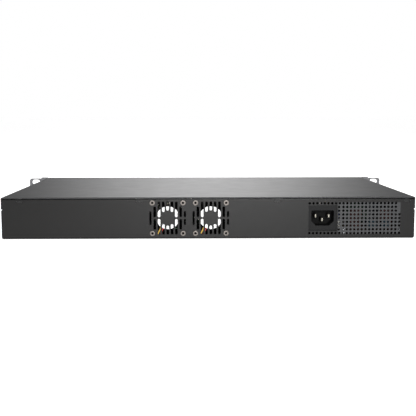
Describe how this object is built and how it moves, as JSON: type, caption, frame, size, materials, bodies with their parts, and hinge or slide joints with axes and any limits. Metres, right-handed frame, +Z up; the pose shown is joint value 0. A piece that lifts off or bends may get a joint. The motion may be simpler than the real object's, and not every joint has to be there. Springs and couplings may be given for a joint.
{
  "type": "rackmount network switch",
  "caption": "One-unit rackmount network switch: flat sheet-metal case with rack ears, stacked front sockets, rear fans, a mains inlet and vent holes.",
  "frame": {"origin": "middle of the case's underside, on the surface it rests on", "axes": "+Z up, front sockets towards -Y, fans and mains inlet towards +Y, +X to the right seen from the front"},
  "size_m": [0.4826, 0.2618, 0.044],
  "materials": {
    "tray_paint": "fine textured powder coat, dark grey",
    "cover_paint": "satin powder coat, mid grey",
    "panel_paint": "satin powder coat",
    "ear_paint": "satin powder coat",
    "nickel": "nickel plated",
    "zinc": "zinc plated",
    "fan_plastic": "moulded",
    "bronze": "sintered, oiled",
    "winding": "enamelled wire on laminations",
    "label_white": "printed film",
    "lead_yellow": "lead insulation",
    "lead_brown": "lead insulation",
    "lead_blue": "lead insulation",
    "lead_green": "lead insulation",
    "lead_red": "lead insulation",
    "inlet_plastic": "moulded",
    "board_green": "solder mask",
    "board_tan": "paper laminate",
    "sink_metal": "extruded",
    "package_black": "moulded package",
    "ferrite": "sintered ferrite",
    "coil_tape": "polyester tape",
    "can_sleeve": "shrink sleeve",
    "film_red": "moulded box",
    "disc_blue": "dipped coating",
    "choke_green": "coated ferrite ring",
    "socket_white": "moulded nylon",
    "jack_plastic": "moulded",
    "contact_gold": "plated",
    "clear_plastic": "clear acrylic",
    "button_grey": "moulded"
  },
  "bodies": {
    "chassis": {"base_tray": "tray_paint", "board_capacitors": "can_sleeve", "board_chips": "package_black", "board_headers": "socket_white", "board_screws": "zinc", "board_spacers": "zinc", "button_switches": "jack_plastic", "case_screws": "zinc", "clinch_nuts": "zinc", "console_housing": "jack_plastic", "ear_left": "ear_paint", "ear_right": "ear_paint", "ear_screws": "zinc", "earth_lead": "lead_green", "fan_1_bearing": "bronze", "fan_1_frame": "fan_plastic", "fan_1_label": "label_white", "fan_1_leads": "lead_yellow", "fan_1_stator": "winding", "fan_2_bearing": "bronze", "fan_2_frame": "fan_plastic", "fan_2_label": "label_white", "fan_2_leads": "lead_yellow", "fan_2_stator": "winding", "fan_screws": "nickel", "front_plate_jacks": "panel_paint", "front_plate_optics": "panel_paint", "front_plate_ports": "panel_paint", "front_plate_vent": "panel_paint", "inlet_housing": "inlet_plastic", "inlet_pins": "nickel", "jack_contacts": "contact_gold", "jack_housings": "jack_plastic", "jack_shields": "nickel", "light_guides": "clear_plastic", "line_lead": "lead_brown", "main_board": "board_green", "neutral_lead": "lead_blue", "psu_board": "board_tan", "psu_capacitors": "can_sleeve", "psu_choke": "choke_green", "psu_connectors": "socket_white", "psu_disc_capacitors": "disc_blue", "psu_film_capacitors": "film_red", "psu_heatsinks": "sink_metal", "psu_transformer_coil": "coil_tape", "psu_transformer_core": "ferrite", "psu_transistors": "package_black", "sfp_cage": "nickel", "sfp_connectors": "jack_plastic", "supply_leads": "lead_red", "switch_heatsink": "sink_metal", "top_cover": "cover_paint", "usb_port": "nickel"},
    "fan_1_wheel": {"fan_1_rotor": "fan_plastic", "fan_1_shaft": "nickel"},
    "fan_2_wheel": {"fan_2_rotor": "fan_plastic", "fan_2_shaft": "nickel"},
    "reset_button": {"reset_button": "button_grey"},
    "mode_button": {"mode_button": "button_grey"}
  },
  "joints": [
    {"name": "fan_1_spin", "type": "hinge", "parent": "chassis", "child": "fan_1_wheel", "pos_m": [0.043, 0.117, 0.0219], "axis": [0, 1, 0], "continuous": true},
    {"name": "fan_2_spin", "type": "hinge", "parent": "chassis", "child": "fan_2_wheel", "pos_m": [-0.002, 0.117, 0.0219], "axis": [0, 1, 0], "continuous": true},
    {"name": "reset_press", "type": "slide", "parent": "chassis", "child": "reset_button", "axis": [0, 1, 0], "range_m": [0, 0.0006], "stiffness_N_per_m": 400, "springref_m": -0.0005},
    {"name": "mode_press", "type": "slide", "parent": "chassis", "child": "mode_button", "axis": [0, 1, 0], "range_m": [0, 0.0006], "stiffness_N_per_m": 400, "springref_m": -0.0005}
  ]
}
